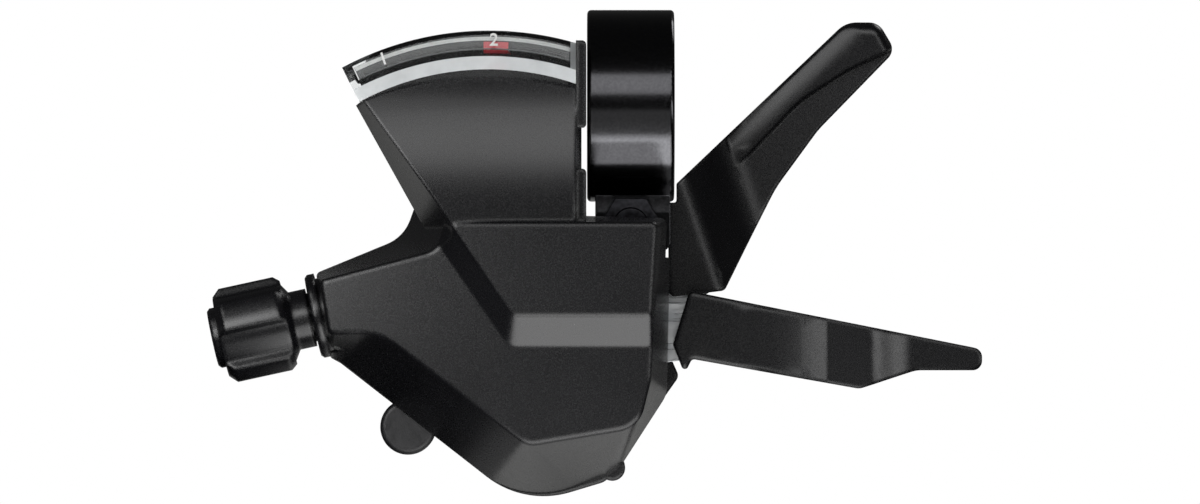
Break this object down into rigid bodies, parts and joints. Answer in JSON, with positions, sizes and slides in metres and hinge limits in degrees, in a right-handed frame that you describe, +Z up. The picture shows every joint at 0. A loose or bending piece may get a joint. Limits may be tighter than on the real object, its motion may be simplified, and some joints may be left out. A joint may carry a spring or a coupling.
{
  "type": "trigger gear shifter",
  "caption": "Handlebar trigger gear shifter with a band clamp, a thumb lever, a finger release lever, a barrel cable adjuster and a needle gear window.",
  "frame": {"origin": "middle of the clamp's bore, on the handlebar's axis", "axes": "+X along the bar towards the levers, +Z up in the picture, +Y away from the viewer of the cover"},
  "size_m": [0.1137, 0.051, 0.0715],
  "materials": {
    "front_cover": "fine moulded texture",
    "rear_housing": "fine moulded texture",
    "clamp_band": "black satin",
    "clamp_bolt": "black oxide",
    "clamp_nut": "zinc",
    "base_plate": "zinc",
    "cover_screws": "zinc",
    "main_axle": "ground",
    "axle_nut": "zinc",
    "axle_washer": "zinc",
    "rear_bush": "turned",
    "front_bush": "turned",
    "spring_cap": "stamped",
    "cable_reel": "acetal",
    "ratchet_wheel": "stamped",
    "reel_spring": "spring wire",
    "hold_pawl": "hardened",
    "hold_pawl_pin": "ground",
    "hold_pawl_spring": "spring wire",
    "feed_pawl": "hardened",
    "feed_pawl_pin": "ground",
    "feed_pawl_spring": "spring wire",
    "main_lever": "fine moulded texture",
    "main_lever_plate": "zinc",
    "main_lever_rivets": "zinc",
    "main_lever_spring": "spring wire",
    "release_lever": "fine moulded texture",
    "release_arm": "zinc",
    "release_rivets": "zinc",
    "release_spring": "spring wire",
    "indicator_lens": "clear moulding",
    "indicator_dial": "printed",
    "indicator_needle": "red moulding",
    "indicator_back": "moulded",
    "needle_pin": "ground",
    "needle_clip": "stamped",
    "adjuster_collar": "moulded",
    "adjuster_barrel": "fine moulded texture",
    "detent_ring": "stamped",
    "detent_spring": "spring wire",
    "cable_port_plug": "satin"
  },
  "bodies": {
    "shifter": {"front_cover": "front_cover", "rear_housing": "rear_housing", "clamp_band": "clamp_band", "clamp_bolt": "clamp_bolt", "clamp_nut": "clamp_nut", "base_plate": "base_plate", "cover_screws": "cover_screws", "main_axle": "main_axle", "axle_nut": "axle_nut", "axle_washer": "axle_washer", "rear_bush": "rear_bush", "front_bush": "front_bush", "spring_cap": "spring_cap", "reel_spring": "reel_spring", "hold_pawl_pin": "hold_pawl_pin", "hold_pawl_spring": "hold_pawl_spring", "main_lever_spring": "main_lever_spring", "release_spring": "release_spring", "indicator_lens": "indicator_lens", "indicator_dial": "indicator_dial", "indicator_back": "indicator_back", "needle_pin": "needle_pin", "needle_clip": "needle_clip", "adjuster_collar": "adjuster_collar", "detent_spring": "detent_spring", "cable_port_plug": "cable_port_plug"},
    "reel": {"cable_reel": "cable_reel", "ratchet_wheel": "ratchet_wheel"},
    "needle": {"indicator_needle": "indicator_needle"},
    "main_lever": {"main_lever": "main_lever", "main_lever_plate": "main_lever_plate", "main_lever_rivets": "main_lever_rivets", "feed_pawl_pin": "feed_pawl_pin", "feed_pawl_spring": "feed_pawl_spring"},
    "feed_pawl": {"feed_pawl": "feed_pawl"},
    "release_lever": {"release_lever": "release_lever", "release_arm": "release_arm", "release_rivets": "release_rivets"},
    "hold_pawl": {"hold_pawl": "hold_pawl"},
    "detent": {"detent_ring": "detent_ring"},
    "barrel": {"adjuster_barrel": "adjuster_barrel"}
  },
  "joints": [
    {"name": "reel_index", "type": "hinge", "parent": "shifter", "child": "reel", "pos_m": [-0.01, 0, -0.0336], "axis": [0, 1, 0], "range_deg": [-43.2, 0], "deforming": ["reel_spring"]},
    {"name": "needle_swing", "type": "hinge", "parent": "shifter", "child": "needle", "pos_m": [-0.0207, 0, -0.0344], "axis": [0, 1, 0], "range_deg": [-21.7, 0.1]},
    {"name": "main_lever_push", "type": "hinge", "parent": "shifter", "child": "main_lever", "pos_m": [-0.01, 0, -0.0336], "axis": [0, 1, 0], "range_deg": [0, 48], "stiffness_Nm_per_rad": 0.03, "springref_deg": -22.92, "deforming": ["main_lever_spring"]},
    {"name": "feed_pawl_swing", "type": "hinge", "parent": "main_lever", "child": "feed_pawl", "pos_m": [-0.02178, 0, -0.0268], "axis": [0, 1, 0], "range_deg": [-0.1, 9.2], "deforming": ["feed_pawl_spring"]},
    {"name": "release_lever_push", "type": "hinge", "parent": "shifter", "child": "release_lever", "pos_m": [-0.01, 0, -0.0336], "axis": [0, 1, 0], "range_deg": [-14, 0], "stiffness_Nm_per_rad": 0.03, "springref_deg": 22.92, "deforming": ["release_spring"]},
    {"name": "hold_pawl_lift", "type": "hinge", "parent": "shifter", "child": "hold_pawl", "pos_m": [-0.02353, 0, -0.03502], "axis": [0, 1, 0], "range_deg": [-0.1, 17], "deforming": ["hold_pawl_spring"]},
    {"name": "barrel_travel", "type": "slide", "parent": "shifter", "child": "detent", "axis": [-0.977, 0, -0.213], "range_m": [0, 0.0024], "deforming": ["detent_spring"]},
    {"name": "barrel_turn", "type": "hinge", "parent": "detent", "child": "barrel", "pos_m": [-0.0451, -0.0082, -0.0307], "axis": [-0.977, 0, -0.213], "range_deg": [-1, 1081]}
  ],
  "couplings": [
    {"joint": "needle_swing", "follows": "reel_index", "ratio": 0.5},
    {"joint": "feed_pawl_swing", "follows": "main_lever_push", "ratio": 0.1875},
    {"joint": "hold_pawl_lift", "follows": "release_lever_push", "ratio": -1.2},
    {"joint": "barrel_turn", "follows": "barrel_travel", "rad_per_m": 7854}
  ]
}
